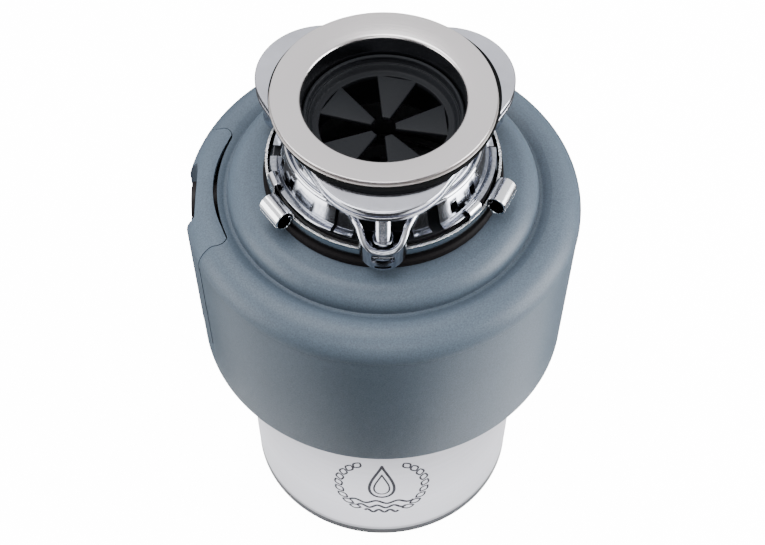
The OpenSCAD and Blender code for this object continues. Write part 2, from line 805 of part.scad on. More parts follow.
sink_flange();
friction_ring();
sink_gasket();
backup_flange();
upper_mounting_ring();
mounting_screws();
tube_snap_ring();
lower_mounting_ring();
cushion_gasket();
splash_guard();
grind_chamber();
chamber_screws();
chamber_gasket();
shredder_ring();
turntable();
impeller_1();
impeller_2();
impeller_pins();
shaft_nut();
motor_shaft();
rotor_core();
rotor_cage();
upper_end_bell();
shaft_seal();
upper_bearing();
lower_bearing();
thrust_washer();
stator_core();
stator_windings();
motor_can();
lower_end_frame();
through_bolts();
start_relay();
overload_protector();
reset_button();
terminal_cover();
terminal_screws();
top_cover();
side_shell();
trim_panel();
sound_insulation();
dishwasher_inlet();
inlet_knockout();
discharge_gasket();
discharge_flange();
discharge_screws();
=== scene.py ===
import math

import bmesh
import bpy
from mathutils import Euler, Matrix, Vector

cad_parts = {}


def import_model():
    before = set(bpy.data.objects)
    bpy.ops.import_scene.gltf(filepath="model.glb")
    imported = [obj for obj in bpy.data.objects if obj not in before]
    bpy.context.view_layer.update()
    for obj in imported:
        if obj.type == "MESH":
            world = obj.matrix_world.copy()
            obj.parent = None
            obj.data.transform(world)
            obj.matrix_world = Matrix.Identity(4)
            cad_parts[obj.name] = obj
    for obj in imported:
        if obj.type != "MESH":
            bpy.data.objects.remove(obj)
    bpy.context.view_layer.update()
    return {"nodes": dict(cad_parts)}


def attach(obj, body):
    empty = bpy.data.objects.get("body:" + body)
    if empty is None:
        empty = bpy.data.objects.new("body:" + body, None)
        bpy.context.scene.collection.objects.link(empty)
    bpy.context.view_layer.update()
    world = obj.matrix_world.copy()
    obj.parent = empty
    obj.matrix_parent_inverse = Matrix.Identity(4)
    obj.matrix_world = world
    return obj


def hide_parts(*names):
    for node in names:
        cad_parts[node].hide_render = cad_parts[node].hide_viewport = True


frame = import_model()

nodes = frame["nodes"]
MM = 0.001

# Main levels, radii and angles of the CAD frame, in millimetres and degrees
TOP = 312.0
LOBES, LOBE_R = (-90, 30, 150), 35.5
COVER_Z = 252.5
BEAD_C, BEAD_R = (70.5, 239.5), 12.0
SHOULDER_C, SHOULDER_R = (91.8, 227.4), 13.97
SHELL_R, SHELL_T = 105.77, 3.0
SEAM_Z = 226.7
SHELL_LOW, SHELL_LOW_R = 128.8, 102.5
CAN_R, CAN_LOW, CAN_TOP, CAN_FLARE = 77.6, 5.04, 126.1, 1.2
PANEL_LOW, PANEL_LOW_R, PANEL_EDGE_R = 154.0, 103.5, 88.4
RIM_Z = TOP - 32
RAMP_Z = TOP - 45.4
BAND_TOP = TOP - 48
SCREW_R = 62
INLET_Z, OUTLET_Z = 225.5, 153.5


# ---------- shapes: points are in millimetres until make() ----------

def polar(r, a):
    return (r * math.cos(math.radians(a)), r * math.sin(math.radians(a)))


def arc(c, r, a0, a1, n=12):
    """Points of an arc round c, as (x, y, fillet radius 0)."""
    found = []
    for i in range(n + 1):
        p = polar(r, a0 + (a1 - a0) * i / n)
        found.append((c[0] + p[0], c[1] + p[1], 0))
    return found


def rounded(points, steps=5, closed=True):
    """Outline of (x, y, radius) corners with each corner rounded by its radius."""
    out = []
    n = len(points)
    for i, p in enumerate(points):
        radius = p[2] if len(p) > 2 else 0
        if radius <= 0 or (not closed and i in (0, n - 1)):
            out.append((p[0], p[1]))
            continue
        here = Vector(p[:2])
        back = Vector(points[i - 1][:2]) - here
        ahead = Vector(points[(i + 1) % n][:2]) - here
        half = back.angle(ahead, math.pi) / 2
        if half > math.radians(88) or min(back.length, ahead.length) < 1e-6:
            out.append((p[0], p[1]))
            continue
        along = min(radius / math.tan(half), 0.48 * back.length, 0.48 * ahead.length)
        radius = along * math.tan(half)
        middle = here + (back.normalized() + ahead.normalized()).normalized() * (radius / math.sin(half))
        first = here + back.normalized() * along - middle
        last = here + ahead.normalized() * along - middle
        turn = first.angle_signed(last)
        for k in range(steps + 1):
            s = math.sin(-turn * k / steps)
            c = math.cos(-turn * k / steps)
            out.append((middle.x + first.x * c - first.y * s, middle.y + first.x * s + first.y * c))
    return out


def revolve(profile, a0=0.0, a1=360.0, steps=192, rise=None):
    """Closed (r, z) outline turned round the axis. rise(angle) lifts each section."""
    full = a1 - a0 >= 360
    count = steps if full else steps + 1
    verts = []
    for i in range(count):
        a = a0 + (a1 - a0) * i / steps
        lift = rise(a) if rise else 0.0
        c, s = polar(1, a)
        verts += [(r * c, r * s, z + lift) for r, z in profile]
    return verts, strips(count, len(profile), full)


def turned(profile_at):
    """Closed (r, z) outlines, one for each angle in degrees, joined all round the axis."""
    sections = []
    for i in range(256):
        a = 360 * i / 256
        c, s = polar(1, a)
        sections.append([(r * c, r * s, z) for r, z in profile_at(a)])
    return loft(sections, wrap=True)


def strips(count, m, wrap):
    """Faces between count loops of m points, closed by two caps or by the first loop again."""
    faces = []
    for i in range(count if wrap else count - 1):
        j = (i + 1) % count
        faces += [(i * m + k, j * m + k, j * m + (k + 1) % m, i * m + (k + 1) % m) for k in range(m)]
    if not wrap:
        faces.append(tuple(range(m - 1, -1, -1)))
        faces.append(tuple((count - 1) * m + k for k in range(m)))
    return faces


def loft(sections, wrap=False):
    """Closed loops of 3-D points joined one after another."""
    verts = [p for section in sections for p in section]
    return verts, strips(len(sections), len(sections[0]), wrap)


def prism(outline, z0, z1, edge=0.0):
    """Outline raised from z0 to z1, its two rims rounded by edge."""
    pts = [Vector(p[:2]) for p in outline]
    n = len(pts)
    area = sum(pts[i - 1].x * pts[i].y - pts[i].x * pts[i - 1].y for i in range(n))
    if area < 0:
        pts.reverse()
    inward = []
    for i in range(n):
        t = (pts[(i + 1) % n] - pts[i - 1]).normalized()
        inward.append(Vector((-t.y, t.x)))
    levels = [(0.0, z0), (0.0, z1)]
    if edge > 0:
        rim = [polar(edge, 30 * k) for k in range(4)]
        levels = [(edge - y, z0 + edge - x) for x, y in rim]
        levels += [(edge - y, z1 - edge + x) for x, y in rim[::-1]]
    sections = [[(p.x + d.x * o, p.y + d.y * o, z) for p, d in zip(pts, inward)] for o, z in levels]
    return loft(sections)


def box_shape(low, high, corner, steps=4, edge=0.0):
    """Box from point low to point high, its upright edges rounded by corner."""
    x0, y0, z0 = low
    x1, y1, z1 = high
    plan = rounded([(x0, y0, corner), (x1, y0, corner), (x1, y1, corner), (x0, y1, corner)], steps)
    return prism(plan, z0, z1, edge)


def mirrored(path):
    """A path that ends on the X axis, and then its mirror image back."""
    return path + [(x, -y, z) for x, y, z in path[-2::-1]]


def thick_strip(line, half):
    """Closed outline round an open line of (x, y), half as thick on each side, with round ends."""
    pts = [Vector(p[:2]) for p in line]
    side = []
    for i in range(len(pts)):
        a = pts[max(i - 1, 0)]
        b = pts[min(i + 1, len(pts) - 1)]
        t = (b - a).normalized()
        side.append(Vector((-t.y, t.x)))
    left = [p + s * half for p, s in zip(pts, side)]
    right = [p - s * half for p, s in zip(pts, side)]

    def cap(centre, start):
        return [centre + Matrix.Rotation(-math.pi * k / 4, 2) @ start for k in (1, 2, 3)]

    end = cap(pts[-1], side[-1] * half)
    begin = cap(pts[0], -side[0] * half)
    return [tuple(p) for p in left + end + right[::-1] + begin]


def moved(shape, turn=0.0, shift=(0, 0, 0), tilt=None):
    """The shape tilted, shifted and then turned about Z by degrees."""
    m = Matrix.Rotation(math.radians(turn), 4, "Z") @ Matrix.Translation(shift)
    if tilt:
        m = m @ Euler([math.radians(t) for t in tilt]).to_matrix().to_4x4()
    return [tuple(m @ Vector(v)) for v in shape[0]], shape[1]


def joined(shapes):
    """Several shapes as one."""
    verts, faces = [], []
    for v, f in shapes:
        base = len(verts)
        verts += v
        faces += [tuple(i + base for i in face) for face in f]
    return verts, faces


def solid(shape, name="scratch"):
    """A Blender object of the shape, in metres, with its normals outwards."""
    mesh = bpy.data.meshes.new(name)
    mesh.from_pydata([(x * MM, y * MM, z * MM) for x, y, z in shape[0]], [], shape[1])
    bm = bmesh.new()
    bm.from_mesh(mesh)
    bmesh.ops.remove_doubles(bm, verts=bm.verts, dist=1e-7)
    bmesh.ops.recalc_face_normals(bm, faces=bm.faces)
    bm.to_mesh(mesh)
    bm.free()
    mesh.validate()
    obj = bpy.data.objects.new(name, mesh)
    bpy.context.scene.collection.objects.link(obj)
    return obj


def apply_modifiers(obj):
    """Replaces the object's mesh with what its modifiers make of it."""
    bpy.context.view_layer.update()
    made = bpy.data.meshes.new_from_object(obj.evaluated_get(bpy.context.evaluated_depsgraph_get()))
    old = obj.data
    obj.modifiers.clear()
    obj.data = made
    bpy.data.meshes.remove(old)


def cut(obj, cutters, operation="DIFFERENCE"):
    """Takes cutter shapes or objects away from obj, keeps only what lies in them or adds them."""
    tools = [c if isinstance(c, bpy.types.Object) else solid(c, "cutter") for c in cutters]
    for tool in tools:
        m = obj.modifiers.new("cut", "BOOLEAN")
        m.operation = operation
        m.solver = "EXACT"
        m.object = tool
    apply_modifiers(obj)
    for tool in tools:
        bpy.data.objects.remove(tool)


def bevel(obj, width):
    """Softens the edges sharper than 50 degrees."""
    m = obj.modifiers.new("edges", "BEVEL")
    m.width = width * MM
    m.segments = 2
    m.limit_method = "ANGLE"
    m.angle_limit = math.radians(50)
    m.harden_normals = False
    apply_modifiers(obj)


def smooth(obj, angle=32):
    """Smooth shading that keeps edges sharper than the angle."""
    mesh = obj.data
    mesh.shade_smooth()
    bm = bmesh.new()
    bm.from_mesh(mesh)
    limit = math.radians(angle)
    for e in bm.edges:
        e.smooth = len(e.link_faces) != 2 or e.calc_face_angle(0) < limit
    bm.to_mesh(mesh)
    bm.free()


def finish_piece(obj, name, material, body, replaced, angle=32):
    """Names and paints the piece, parents it to its body's empty and hides the CAD nodes that it replaces."""
    obj.name = name
    obj.data.name = name
    obj.data.materials.clear()
    obj.data.materials.append(material)
    smooth(obj, angle)
    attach(obj, body)
    if replaced:
        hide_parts(*replaced)


def make(name, shapes, material, body="housing", replaced=(), angle=32):
    """One piece of the given shapes."""
    shapes = shapes if isinstance(shapes, list) else [shapes]
    finish_piece(solid(joined(shapes), name), name, material, body, replaced, angle)


# ---------- materials ----------

class Paint:
    """A Principled material with a few node helpers."""

    def __init__(self, name, color, rough, metal=0.0, **sockets):
        self.m = bpy.data.materials.new(name)
        self.m.use_nodes = True
        self.m.diffuse_color = (*color, 1)
        self.t = self.m.node_tree
        self.b = self.t.nodes["Principled BSDF"]
        self.b.inputs["Base Color"].default_value = (*color, 1)
        self.b.inputs["Roughness"].default_value = rough
        self.b.inputs["Metallic"].default_value = metal
        for key, value in sockets.items():
            self.b.inputs[key.replace("_", " ")].default_value = value
        self.coords = self.node("ShaderNodeTexCoord").outputs["Object"]
        self.normal = None

    def node(self, kind, **values):
        n = self.t.nodes.new(kind)
        for key, value in values.items():
            setattr(n, key, value)
        return n

    def link(self, a, b):
        self.t.links.new(a, b)

    def stretch(self, scale, coords=None):
        """Coordinates scaled differently along each axis."""
        n = self.node("ShaderNodeMapping")
        n.inputs["Scale"].default_value = scale
        self.link(coords or self.coords, n.inputs["Vector"])
        return n.outputs["Vector"]

    def around(self, slow, fast):
        """Coordinates that change fast with the radius and slowly along a turned surface."""
        split = self.node("ShaderNodeSeparateXYZ")
        self.link(self.coords, split.inputs[0])
        flat = self.node("ShaderNodeCombineXYZ")
        self.link(split.outputs["X"], flat.inputs["X"])
        self.link(split.outputs["Y"], flat.inputs["Y"])
        length = self.node("ShaderNodeVectorMath", operation="LENGTH")
        self.link(flat.outputs[0], length.inputs[0])
        out = self.node("ShaderNodeCombineXYZ")
        self.link(split.outputs["X"], out.inputs["X"])
        self.link(split.outputs["Y"], out.inputs["Y"])
        self.link(length.outputs["Value"], out.inputs["Z"])
        return self.stretch((slow, slow, fast), out.outputs[0])

    def noise(self, scale, detail=2.0, rough=0.5, coords=None):
        n = self.node("ShaderNodeTexNoise")
        n.inputs["Scale"].default_value = scale
        n.inputs["Detail"].default_value = detail
        n.inputs["Roughness"].default_value = rough
        self.link(coords or self.coords, n.inputs["Vector"])
        return n.outputs["Fac"]

    def cells(self, scale):
        n = self.node("ShaderNodeTexVoronoi")
        n.inputs["Scale"].default_value = scale
        self.link(self.coords, n.inputs["Vector"])
        return n.outputs["Distance"]

    def ramp(self, fac, stops):
        n = self.node("ShaderNodeValToRGB")
        e = n.color_ramp.elements
        while len(e) < len(stops):
            e.new(0.5)
        for slot, (pos, color) in zip(e, stops):
            slot.position = pos
            slot.color = (*color, 1) if len(color) == 3 else color
        self.link(fac, n.inputs["Fac"])
        return n.outputs["Color"]

    def spread(self, fac, low, high, at=(0.3, 0.7)):
        """Goes from low to high as fac rises over the range at."""
        n = self.node("ShaderNodeMapRange")
        n.inputs["From Min"].default_value = at[0]
        n.inputs["From Max"].default_value = at[1]
        n.inputs["To Min"].default_value = low
        n.inputs["To Max"].default_value = high
        self.link(fac, n.inputs["Value"])
        return n.outputs["Result"]

    def height(self, z0, z1, low=0, high=1):
        """Goes from low to high as Z rises from z0 to z1 millimetres."""
        split = self.node("ShaderNodeSeparateXYZ")
        self.link(self.coords, split.inputs[0])
        return self.spread(split.outputs["Z"], low, high, (z0 * MM, z1 * MM))

    def combine(self, operation, a, b):
        n = self.node("ShaderNodeMath", operation=operation)
        self.link(a, n.inputs[0])
        self.link(b, n.inputs[1])
        return n.outputs[0]

    def blend(self, factor, a, b):
        """Colour a turning into b, each of them a socket or a plain colour."""
        n = self.node("ShaderNodeMix", data_type="RGBA")
        self.link(factor, n.inputs["Factor"])
        for key, value in (("A", a), ("B", b)):
            if isinstance(value, tuple):
                n.inputs[key].default_value = (*value, 1)
            else:
                self.link(value, n.inputs[key])
        return n.outputs["Result"]

    def times(self, color, shade):
        """The colour multiplied by a shade."""
        n = self.node("ShaderNodeMix", data_type="RGBA", blend_type="MULTIPLY")
        n.inputs["Factor"].default_value = 1.0
        self.link(color, n.inputs["A"])
        self.link(shade, n.inputs["B"])
        return n.outputs["Result"]

    def color(self, socket):
        self.link(socket, self.b.inputs["Base Color"])

    def painted_shade(self, socket, reach, low, at=(0.15, 0.75)):
        """Painted shade: darkens the colour where other surfaces stand closer than reach."""
        near = self.node("ShaderNodeAmbientOcclusion", samples=8)
        near.inputs["Distance"].default_value = reach * MM
        return self.times(socket, self.spread(near.outputs["AO"], low, 1.0, at))

    def rough(self, fac, low, high, at=(0.3, 0.7)):
        self.link(self.spread(fac, low, high, at), self.b.inputs["Roughness"])

    def bump(self, fac, strength, depth):
        n = self.node("ShaderNodeBump")
        n.inputs["Strength"].default_value = strength
        n.inputs["Distance"].default_value = depth * MM
        self.link(fac, n.inputs["Height"])
        if self.normal:
            self.link(self.normal, n.inputs["Normal"])
        self.normal = n.outputs["Normal"]
        self.link(self.normal, self.b.inputs["Normal"])


def tint(color, k):
    return tuple(min(1.0, c * k) for c in color)


def turned_metal(name, color, rough):
    """Metal with fine lines running round the axis."""
    p = Paint(name, color, rough, 1.0)
    lines = p.noise(1.0, 3, 0.6, p.around(25, 5000))
    clouds = p.noise(40, 3)
    p.color(p.ramp(lines, [(0.25, tint(color, 0.9125)), (0.75, tint(color, 1.03))]))
    p.rough(clouds, rough * 0.85, rough * 1.2)
    p.bump(lines, 0.25, 0.004)
    return p.m


def plain_metal(name, color, rough, grain=900, depth=0.01, strength=0.2, metal=1.0):
    """Metal with a fine even grain and faint clouds."""
    p = Paint(name, color, rough, metal)
    fine = p.noise(grain, 4, 0.6)
    clouds = p.noise(60, 3)
    p.color(p.ramp(clouds, [(0.3, tint(color, 0.9)), (0.7, tint(color, 1.06))]))
    p.rough(fine, rough * 0.8, rough * 1.25)
    p.bump(fine, strength, depth)
    return p.m


def moulded(name, color, rough, grain, depth=0.03, strength=0.3, shine=0.5, speck_and_shade=0.0):
    """Moulded plastic or rubber with a fine grain, speckled by the given share; when speckled it also gets
    painted shade in its creases and near other parts.
    """
    p = Paint(name, color, rough, 0.0, Specular_IOR_Level=shine)
    pits = p.cells(grain)
    fine = p.noise(grain * 1.7, 2)
    clouds = p.noise(18, 4, 0.6)
    tone = p.ramp(clouds, [(0.3, tint(color, 0.95)), (0.7, tint(color, 1.05))])
    if speck_and_shade:
        grains = p.spread(p.noise(1300, 2), 1 - speck_and_shade, 1 + speck_and_shade)
        # painted shade: the speckled colour darkened in creases and near other parts
        tone = p.painted_shade(p.times(tone, grains), 14, 0.78, (0.5, 0.95))
    p.color(tone)
    p.rough(fine, rough * 0.9, rough * 1.12)
    p.bump(pits, strength, depth)
    p.bump(fine, strength * 0.6, depth * 0.6)
    return p.m


STAINLESS = (0.80, 0.765, 0.765)
CHROME = (0.74, 0.755, 0.81)
SHELL = (0.100, 0.133, 0.172)

chrome_soft = plain_metal("chrome_soft", (0.66, 0.67, 0.735), 0.19, grain=700, depth=0.01, strength=0.15)
steel = turned_metal("turned_steel", (0.56, 0.57, 0.59), 0.32)
steel_plain = plain_metal("stamped_steel", (0.55, 0.56, 0.58), 0.34)
cast = plain_metal("die_cast", (0.50, 0.52, 0.54), 0.46, grain=1200, depth=0.06, strength=0.5)
fibre = plain_metal("washer_metal", (0.50, 0.47, 0.46), 0.42, metal=0.6)
gasket_rubber = moulded("gasket_rubber", (0.005, 0.0055, 0.006), 0.7, 2200, strength=0.4, shine=0.05)
cushion_rubber = moulded("cushion_rubber", (0.007, 0.006, 0.0065), 0.6, 1800, strength=0.4, shine=0.08)
guard_rubber = moulded("guard_rubber", (0.011, 0.0125, 0.0155), 0.55, 2400, 0.02, shine=0.2)
shell_plastic = moulded("shell_plastic", SHELL, 0.42, 1100, 0.06, 0.55, shine=0.32, speck_and_shade=0.16)
panel_plastic = moulded("panel_plastic", tint(SHELL, 1.08), 0.42, 1100, 0.06, shine=0.32, speck_and_shade=0.16)
black_plastic = moulded("black_plastic", (0.011, 0.009, 0.010), 0.45, 1400, 0.02, shine=0.2)
red_plastic = moulded("red_plastic", (0.42, 0.02, 0.015), 0.28, 900, 0.01, strength=0.15)
chamber_steel = turned_metal("chamber_steel", (0.20, 0.20, 0.21), 0.5)
dark_casting = moulded("dark_casting", (0.052, 0.058, 0.066), 0.5, 900, 0.08, strength=0.5)


def stainless_material():
    """Polished stainless flange with fine turned lines; the tube below its lip is painted dark as painted
    shade.
    """
    p = Paint("stainless_flange", STAINLESS, 0.22, 1.0)
    lines = p.noise(1.0, 3, 0.6, p.around(12, 2500))
    # painted shade: the tube below the lip darkened from 3 mm under the top downwards
    p.color(p.ramp(p.height(TOP - 4.2, TOP - 3.0), [(0.0, (0.18, 0.185, 0.20)), (1.0, STAINLESS)]))
    p.rough(lines, 0.19, 0.27)
    p.bump(lines, 0.12, 0.002)
    return p.m


def chrome_material():
    """Chrome plate, darker, rougher and streaked on the stamped walls under the rolled rim, with painted
    shade where other surfaces stand close.
    """
    p = Paint("chrome_plate", CHROME, 0.075, 1.0)
    height = p.height(RIM_Z - 5.0, RIM_Z - 2.2)
    streaks = p.noise(1.0, 3, 0.6, p.stretch((700, 700, 60)))
    wall = p.ramp(streaks, [(0.3, (0.33, 0.35, 0.40)), (0.7, (0.50, 0.52, 0.57))])
    # painted shade: the colour darkened where other surfaces stand within 4 mm
    p.color(p.painted_shade(p.blend(height, wall, CHROME), 4, 0.12))
    p.rough(height, 0.15, 0.07, (0, 1))
    p.bump(p.noise(260, 4, 0.6), 0.10, 0.012)
    return p.m


def zinc_material():
    """Zinc plate: the band painted dark as painted shade, rough and grainy along its sheared top edge, each
    lug above painted pale as painted highlight, and painted shade where surfaces stand close.
    """
    p = Paint("zinc_plate", (0.50, 0.54, 0.58), 0.24, 1.0)
    edge = p.height(BAND_TOP - 0.8, BAND_TOP - 0.15)
    below_lugs = p.height(BAND_TOP + 0.1, BAND_TOP + 0.4, 1, 0)
    lug_highlight = p.height(BAND_TOP + 0.1, BAND_TOP + 0.6)
    coarse = p.noise(900, 4, 0.7)
    fine = p.noise(2600, 3, 0.6)
    rough_edge = p.combine("MULTIPLY", p.combine("MULTIPLY", coarse, edge), below_lugs)
    grains = p.spread(coarse, 0.35, 1.0, (0.38, 0.5))
    # the band's dark colour is painted shade; the grains along the sheared edge are real
    band_shade_and_grain = p.blend(edge, (0.38, 0.43, 0.47), grains)
    # the pale colour above the band is painted highlight on the lug rolls, and painted shade darkens the
    # colour within 11 mm of other surfaces
    p.color(p.painted_shade(p.blend(lug_highlight, band_shade_and_grain, (0.93, 0.94, 0.97)), 11, 0.02, (0.3, 0.72)))
    p.rough(fine, 0.13, 0.19)
    p.bump(rough_edge, 1.0, 0.5)
    p.bump(fine, 0.08, 0.006)
    return p.m


def can_material():
    """Stainless sheet brushed round the can, darker at its lower rim, and darkened up towards the shell as
    painted shade under the shell.
    """
    color = (0.75, 0.75, 0.80)
    p = Paint("brushed_can", color, 0.34, 1.0, Anisotropic=0.75)
    tangent = p.node("ShaderNodeTangent", direction_type="RADIAL", axis="Z")
    p.link(tangent.outputs[0], p.b.inputs["Tangent"])
    lines = p.noise(1.0, 4, 0.65, p.stretch((14, 14, 2600)))
    broad = p.noise(1.0, 2, 0.5, p.stretch((6, 6, 420)))
    mean = p.spread(p.combine("ADD", lines, broad), 0, 1, (0, 2))
    tone = p.ramp(mean, [(0.3, tint(color, 0.94)), (0.7, tint(color, 1.05))])
    # painted shade under the shell: the colour darkens from 35 mm up to 90 mm
    tone = p.times(tone, p.height(35, 90, 1.0, 0.70))
    p.color(p.times(tone, p.height(6.5, 9, 0.55, 1.0)))
    p.rough(lines, 0.28, 0.38)
    p.bump(lines, 0.15, 0.003)
    return p.m


def lamination_material():
    """Stack of thin sheets."""
    p = Paint("laminations", (0.34, 0.35, 0.37), 0.42, 1.0)
    wave = p.node("ShaderNodeTexWave", bands_direction="Z")
    wave.inputs["Scale"].default_value = 2000 / 20 * 3.14
    p.link(p.coords, wave.inputs["Vector"])
    p.color(p.ramp(wave.outputs["Fac"], [(0.1, (0.12, 0.12, 0.13)), (0.6, (0.38, 0.39, 0.41))]))
    p.rough(p.noise(500, 3), 0.35, 0.5)
    p.bump(wave.outputs["Fac"], 0.6, 0.08)
    return p.m


def winding_material():
    """Varnished copper wires bundled round the stator's ends."""
    p = Paint("copper_windings", (0.55, 0.22, 0.09), 0.3, 0.85, Coat_Weight=0.4)
    wires = p.noise(1.0, 2, 0.5, p.around(60, 1400))
    p.color(p.ramp(wires, [(0.3, (0.30, 0.10, 0.035)), (0.7, (0.62, 0.27, 0.11))]))
    p.rough(p.noise(300, 3), 0.24, 0.4)
    p.bump(wires, 0.8, 0.4)
    return p.m


def foam_material():
    p = Paint("acoustic_foam", (0.035, 0.035, 0.038), 0.95)
    cells = p.cells(900)
    p.color(p.ramp(cells, [(0.1, (0.012, 0.012, 0.013)), (0.6, (0.05, 0.05, 0.053))]))
    p.rough(p.noise(400, 3), 0.88, 1.0)
    p.bump(cells, 0.9, 0.5)
    return p.m


stainless = stainless_material()
chrome = chrome_material()
zinc = zinc_material()
can_metal = can_material()
laminations = lamination_material()
windings = winding_material()
foam = foam_material()
bronze = plain_metal("sintered_bronze", (0.52, 0.33, 0.14), 0.45, grain=1500, depth=0.04, strength=0.5)
engraving = plain_metal("engraved_line", (0.05, 0.05, 0.06), 0.5, grain=1200, depth=0.01, strength=0.2)

# CAD nodes that keep their own shape, by material
kept = (
    (steel_plain, "tube_snap_ring chamber_screws through_bolts terminal_screws discharge_flange"),
    (steel_plain, "discharge_screws"),
    (chamber_steel, "grind_chamber shredder_ring turntable impeller_1 impeller_2 impeller_pins shaft_nut"),
    (gasket_rubber, "chamber_gasket shaft_seal discharge_gasket"),
    (steel, "motor_shaft thrust_washer"),
    (laminations, "rotor_core stator_core"),
    (windings, "stator_windings"),
    (cast, "rotor_cage upper_end_bell"),
    (bronze, "upper_bearing lower_bearing"),
    (dark_casting, "lower_end_frame terminal_cover"),
    (black_plastic, "start_relay overload_protector inlet_knockout"),
    (red_plastic, "reset_button"),
    (foam, "sound_insulation"))
for node_material, node_names in kept:
    for node_name in node_names.split():
        node = nodes[node_name]
        node.data.materials.clear()
        node.data.materials.append(node_material)
        smooth(node, 30)


# ---------- sink flange, washer, gasket ----------

make("flange_visual", revolve(rounded([
    (57, TOP, 0.4), (57, TOP - 0.95, 0.4), (44.6, TOP - 3.5, 0.8), (42.7, TOP - 4.7, 0.8),
    (42.7, 264.4, 0.3), (41.5, 264.4, 0.3), (41.5, TOP - 2.3, 2.0)], 8), steps=256),
    stainless, replaced=("sink_flange",))
make("washer_visual", revolve(rounded([
    (57.5, 309.58, 0.3), (57.5, 308.64, 0.3), (52, 308.64, 0.2), (52, 309.58, 0.2)], 3), steps=256),
    fibre, replaced=("friction_ring",))


def gasket_outline(a):
    """The gasket bulges a little over each lobe of the backup flange."""
    r = 58.6 + 1.2 * math.cos(math.radians(3 * (a - LOBES[0])))
    return rounded([(r, 308.6, 0.8), (r, 306.04, 0.7), (46, 306.04, 0.5), (46, 308.6, 0.5)], 4)


make("gasket_visual", moved(turned(gasket_outline), shift=(0.6, 0, 0)),
     gasket_rubber, replaced=("sink_gasket",))


# ---------- backup flange ----------

def lobed(offset):
    """Three-lobed outline drawn in by offset."""
    r = LOBE_R - offset
    out = []
    for a in LOBES:
        here, ahead, tip = polar(LOBE_R, a), polar(LOBE_R, a + 120), polar(r, a + 60)
        out += [p[:2] for p in arc(here, r, a - 60, a + 60, 36)]
        for k in range(1, 14):
            out.append(tuple(h + t + (n - h) * k / 14 for h, n, t in zip(here, ahead, tip)))
    return out


def backup_flange():
    """Hollow three-lobed plate with a groove round its side."""
    levels = rounded([
        (0, 306, 1.1), (0, 302.9, 0.4), (2.4, 302.8, 0.15), (2.4, 301.4, 0.15), (0.3, 301.2, 0.4),
        (0.3, 298.6, 0.4), (2.7, 298.6, 0.4), (2.7, 304.5, 0.3)], 5, closed=False)
    levels[0:1] = rounded([(6, 306, 0), (0, 306, 1.1), (0, 304, 0)], 5, closed=False)
    sections = [[(x, y, z) for x, y in lobed(d)] for d, z in levels]
    hole = []
    for x, y in lobed(0):
        k = 43.6 / math.hypot(x, y)
        hole.append((x * k, y * k))
    sections.append([(x, y, 304.5) for x, y in hole])
    sections.append([(x, y, 306) for x, y in hole])
    return loft(sections, wrap=True)


make("backup_flange_visual", moved(backup_flange(), turn=-0.75, shift=(0.5, 0, 0)),
     chrome_soft, replaced=("backup_flange",))


# ---------- upper mounting ring ----------

def ring_body():
    """Collar of the upper ring with its rolled rim."""
    return revolve(rounded(
        [(43.4, 296.7, 0.4), (43.4, 298.2, 0.4), (46.1, 298.2, 1.2), (47.0, 292, 3.0)]
        + arc((49.9, RIM_Z), 1.95, 112, -140, 20)
        + [(47.3, 281.2, 0.8), (45.6, 292, 3.0), (45.0, 296.7, 0.6)], 5), steps=256)


def saddle():
    """Sheet wall round one mounting screw with a rolled rim, pointing along +X."""
    rim_path = [(47.3, 20.2, -32.0), (49.0, 18.0, -31.7), (52.0, 15.6, -31.2), (56.4, 13.4, -31.2),
                (59.6, 11.6, -32.5), (62.8, 10.5, -34.8), (65.6, 9.0, -36.9), (67.9, 6.6, -38.5),
                (69.1, 3.4, -39.4), (69.5, 0.0, -39.7)]
    foot_path = [(47.6, 19.4, -34.5), (49.5, 16.6, -36.0), (52.4, 12.8, -44.0), (56.2, 11.4, -49.5),
                 (60.4, 11.2, -50.6), (63.9, 10.2, -50.7), (66.8, 8.5, -50.7), (69.2, 5.9, -50.7),
                 (70.5, 3.0, -50.7), (70.9, 0.0, -50.7)]
    rim, foot = curve_through(mirrored(rim_path), 6), curve_through(mirrored(foot_path), 6)
    bead = 1.85
    sections = []
    for i, (p, q) in enumerate(zip(rim, foot)):
        a, b = rim[max(i - 1, 0)], rim[min(i + 1, len(rim) - 1)]
        t = Vector((b.x - a.x, b.y - a.y))
        out = Vector((-t.y, t.x)).normalized()
        if out.x < 0 and abs(p.y) < 9:
            out = -out
        if p.y * out.y < 0 and abs(p.y) >= 9:
            out = -out
        loop = []
        for k in range(13):
            ang = math.radians(-52 + 284 * k / 12)
            loop.append((p.x + out.x * bead * math.cos(ang), p.y + out.y * bead * math.cos(ang),
                         TOP + p.z + bead * math.sin(ang)))
        gap = p.z - q.z
        for f, o in ((0.45, -0.95), (0.93, -0.95), (1.0, -0.7), (1.0, 0.7), (0.93, 0.95), (0.45, 0.95)):
            x = p.x + (q.x - p.x) * f + out.x * o
            y = p.y + (q.y - p.y) * f + out.y * o
            loop.append((x, y, TOP + p.z - gap * f))
        sections.append(loop)
    return loft(sections)


def curve_through(points, steps):
    """Smooth points along a Catmull-Rom curve."""
    pts = [Vector(p) for p in points]
    out = []
    for i in range(len(pts) - 1):
        p0 = pts[i - 1] if i > 0 else pts[0] * 2 - pts[1]
        p1, p2 = pts[i], pts[i + 1]
        p3 = pts[i + 2] if i + 2 < len(pts) else pts[-1] * 2 - pts[-2]
        for k in range(steps):
            t = k / steps
            out.append(0.5 * ((2 * p1) + (p2 - p0) * t + (2 * p0 - 5 * p1 + 4 * p2 - p3) * t * t
                              + (3 * p1 - p0 - 3 * p2 + p3) * t * t * t))
    out.append(pts[-1])
    return out


